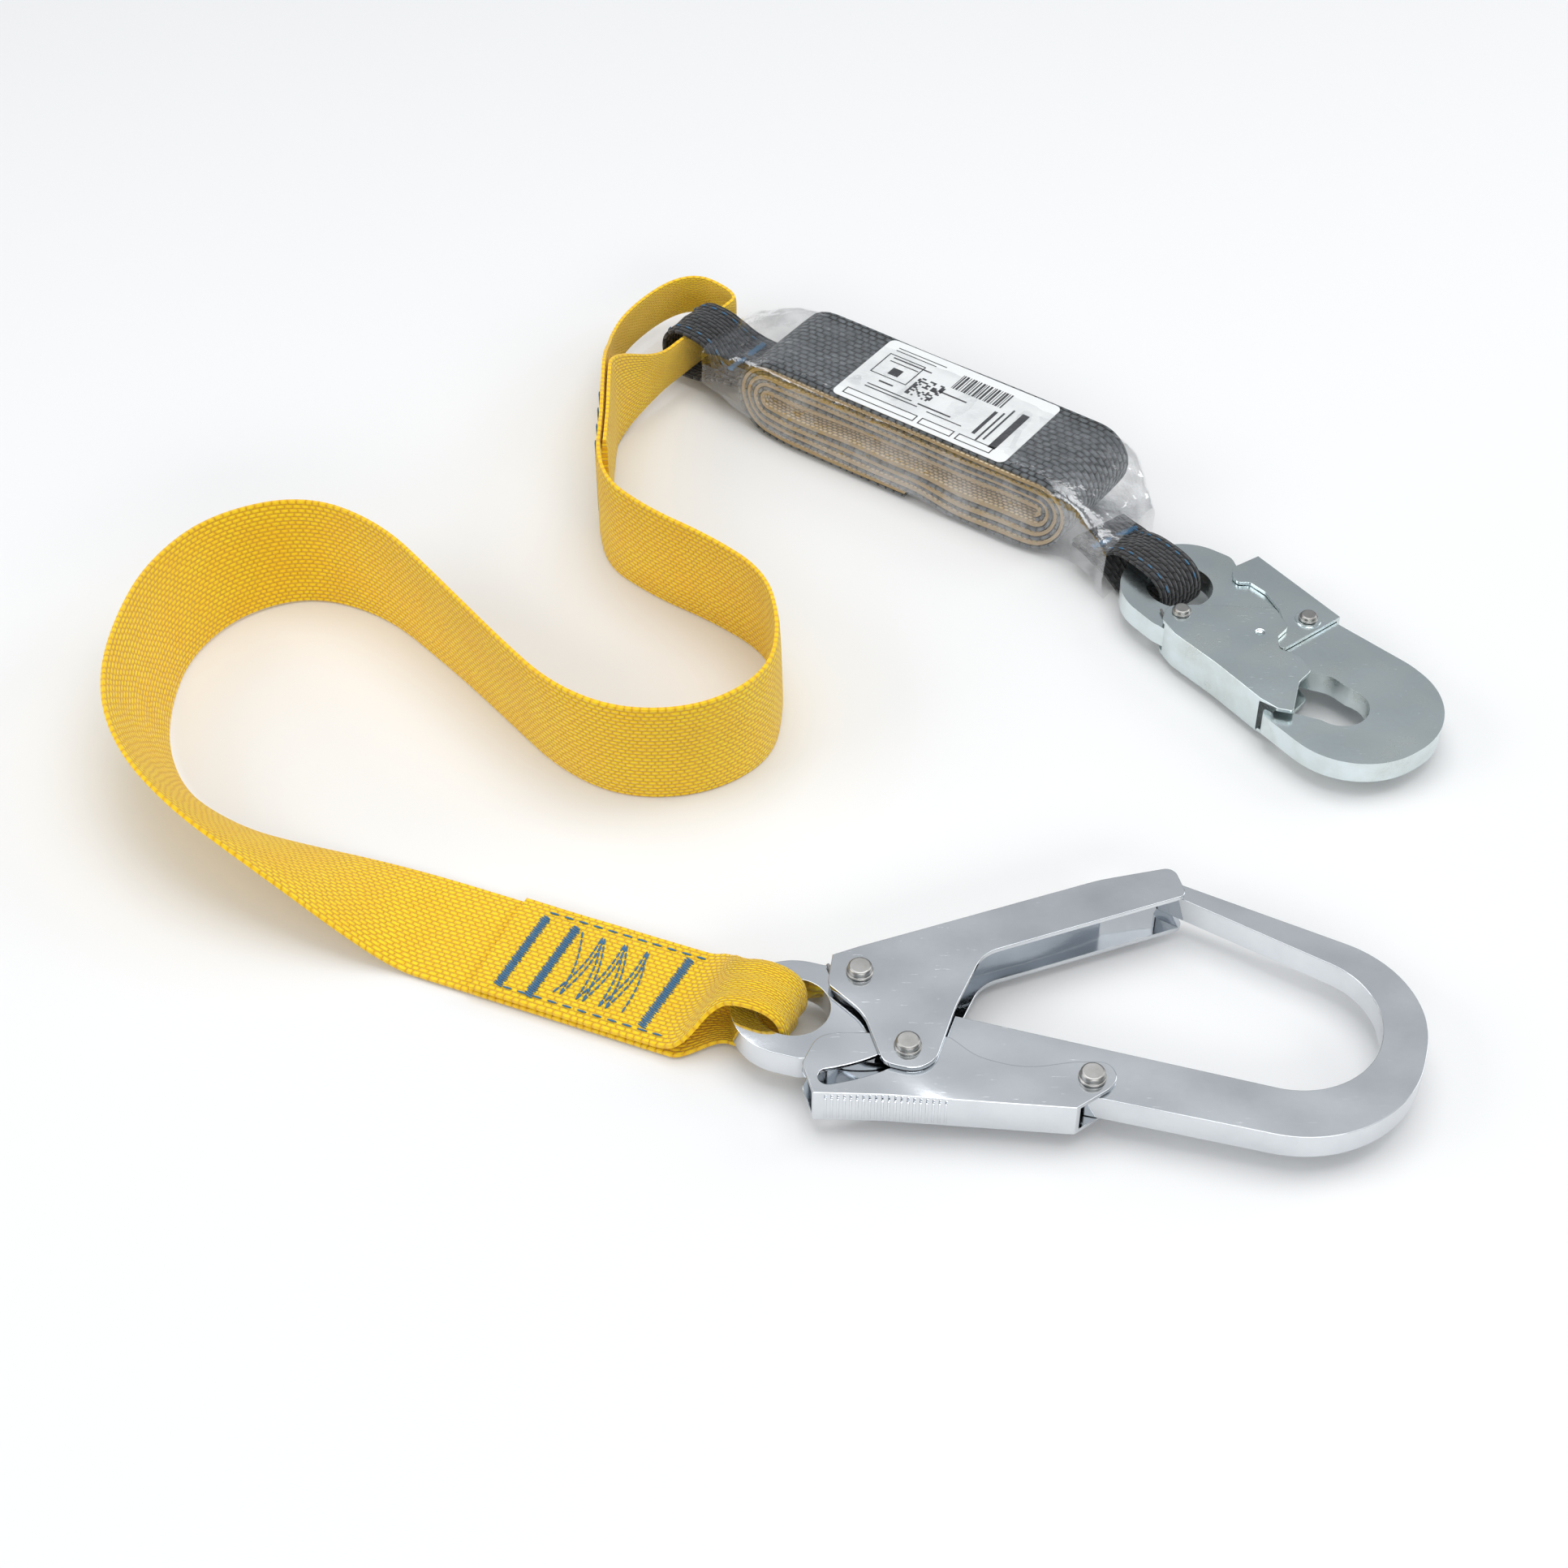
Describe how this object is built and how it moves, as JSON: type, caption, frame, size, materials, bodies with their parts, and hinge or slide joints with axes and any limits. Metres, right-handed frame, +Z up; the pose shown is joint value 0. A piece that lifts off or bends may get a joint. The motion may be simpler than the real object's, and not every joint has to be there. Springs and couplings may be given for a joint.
{
  "type": "shock absorbing lanyard",
  "caption": "Webbing fall-arrest lanyard with a rolled tear-webbing energy absorber in a clear sleeve, a scaffold hook at one end and a snap hook at the other.",
  "frame": {"origin": "on the surface that the lanyard lies on, under the middle of the box round everything but the free strap", "axes": "+Z up from the surface; -Y toward the scaffold hook, +Y toward the absorber"},
  "size_m": [0.4895, 0.4774, 0.045],
  "materials": {
    "hook_steel": "bright plated, rounded edges",
    "zinc_steel": "zinc plated, bluish white with faint yellow edges",
    "rivet_steel": "satin",
    "spring_steel": "drawn wire and strip",
    "cream_webbing": "woven",
    "grey_webbing": "woven",
    "black_webbing": "woven",
    "yellow_webbing": "woven twill",
    "blue_thread": "sewing thread",
    "clear_sleeve": "clear, glossy and creased",
    "label": "printed film"
  },
  "bodies": {
    "strap": {"strap_lower_eye": "yellow_webbing", "strap_lower_stitching": "blue_thread", "strap_upper_eye": "yellow_webbing", "strap_upper_stitching": "blue_thread", "strap_run": "yellow_webbing", "strap_twist": "yellow_webbing"},
    "large_hook": {"large_hook_body": "hook_steel", "large_hook_gate_rivet": "rivet_steel", "large_hook_lever_rivet": "rivet_steel", "large_hook_gate_spring": "spring_steel"},
    "large_gate": {"large_hook_gate": "hook_steel", "large_hook_lock_pin": "rivet_steel"},
    "large_lever": {"large_hook_lock_lever": "hook_steel", "large_hook_lever_spring": "spring_steel"},
    "absorber": {"absorber_tear_webbing": "cream_webbing", "absorber_inner_webbing": "grey_webbing", "absorber_sleeve": "clear_sleeve", "absorber_label": "label", "absorber_upper_loop": "black_webbing", "absorber_lower_loop": "black_webbing", "absorber_upper_bar_tack": "blue_thread", "absorber_lower_bar_tack": "blue_thread"},
    "small_hook": {"small_hook_body": "zinc_steel", "small_hook_gate_rivet": "rivet_steel", "small_hook_lock_rivet": "rivet_steel", "small_hook_gate_spring": "spring_steel"},
    "small_gate": {"small_hook_gate": "zinc_steel"},
    "small_lock": {"small_hook_lock_lever": "zinc_steel", "small_hook_lock_spring": "spring_steel"}
  },
  "joints": [
    {"name": "large_hook_swing", "type": "hinge", "parent": "strap", "child": "large_hook", "pos_m": [-0.06585, -0.17799, 0.0125], "axis": [0.3778, 0.9259, 0], "range_deg": [-80, 80]},
    {"name": "absorber_swing", "type": "hinge", "parent": "strap", "child": "absorber", "pos_m": [-0.09126, 0.20131, 0.016], "axis": [0.585, 0.8111, 0], "range_deg": [-60, 60]},
    {"name": "small_hook_swing", "type": "hinge", "parent": "absorber", "child": "small_hook", "pos_m": [0.08951, 0.04891, 0.01122], "axis": [0.807, 0.5906, 0], "range_deg": [-75, 75]},
    {"name": "large_gate_turn", "type": "hinge", "parent": "large_hook", "child": "large_gate", "pos_m": [-0.03026, -0.17127, 0.0125], "axis": [0, 0, -1], "range_deg": [0, 40], "stiffness_Nm_per_rad": 0.3, "springref_deg": -17.19},
    {"name": "large_lever_turn", "type": "hinge", "parent": "large_hook", "child": "large_lever", "pos_m": [0.04424, -0.21539, 0.0125], "axis": [0, 0, -1], "range_deg": [0, 6], "stiffness_Nm_per_rad": 0.2, "springref_deg": -5.73},
    {"name": "small_gate_turn", "type": "hinge", "parent": "small_hook", "child": "small_gate", "pos_m": [0.09712, 0.0165, 0.01122], "axis": [0, 0, 1], "range_deg": [0, 18], "stiffness_Nm_per_rad": 0.2, "springref_deg": -17.19},
    {"name": "small_lock_turn", "type": "hinge", "parent": "small_hook", "child": "small_lock", "pos_m": [0.14572, 0.01427, 0.01122], "axis": [0, 0, 1], "range_deg": [0, 7.2], "stiffness_Nm_per_rad": 0.1, "springref_deg": -11.46}
  ],
  "couplings": [
    {"joint": "large_lever_turn", "follows": "large_gate_turn", "ratio": 0.15},
    {"joint": "small_lock_turn", "follows": "small_gate_turn", "ratio": 0.4}
  ]
}
